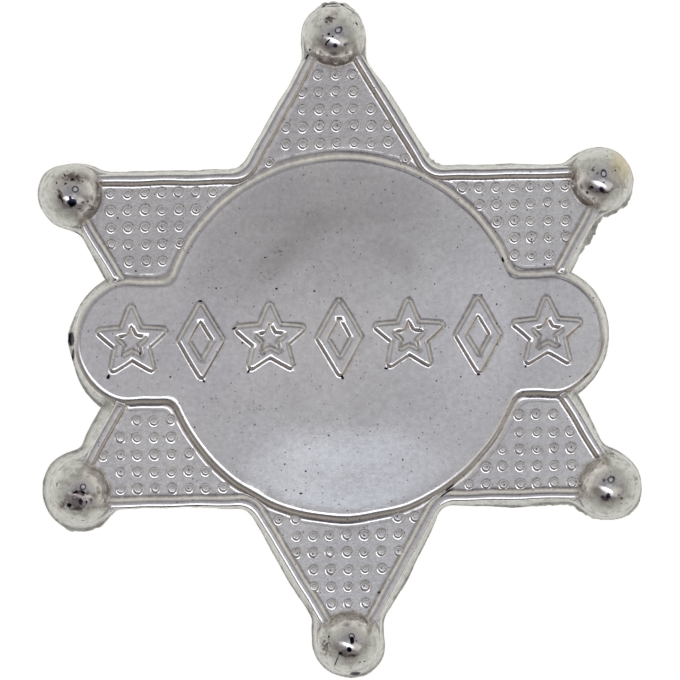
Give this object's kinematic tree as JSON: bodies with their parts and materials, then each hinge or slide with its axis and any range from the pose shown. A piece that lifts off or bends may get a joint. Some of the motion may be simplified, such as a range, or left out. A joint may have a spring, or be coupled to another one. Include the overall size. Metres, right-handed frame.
{
  "type": "six-point star badge with ball tips",
  "caption": "Silver star badge with ball tips, pebbled arms, a raised disc and banner with plain star and lozenge ornaments, a hollow back and a bar pin.",
  "frame": {"origin": "middle of the badge, in the plane of its rim, on which it lies", "axes": "+Z out of the front, +Y to the top point, +X to the right end of the banner as seen from the front"},
  "size_m": [0.066, 0.075, 0.005],
  "materials": {
    "plated_moulding": "bright silver plating on a moulding, softly rippled, with worn and stained spots",
    "pin_steel": "dull nickel plated steel"
  },
  "bodies": {
    "root": {"star_shell": "plated_moulding", "bar_pin": "pin_steel"}
  },
  "joints": []
}
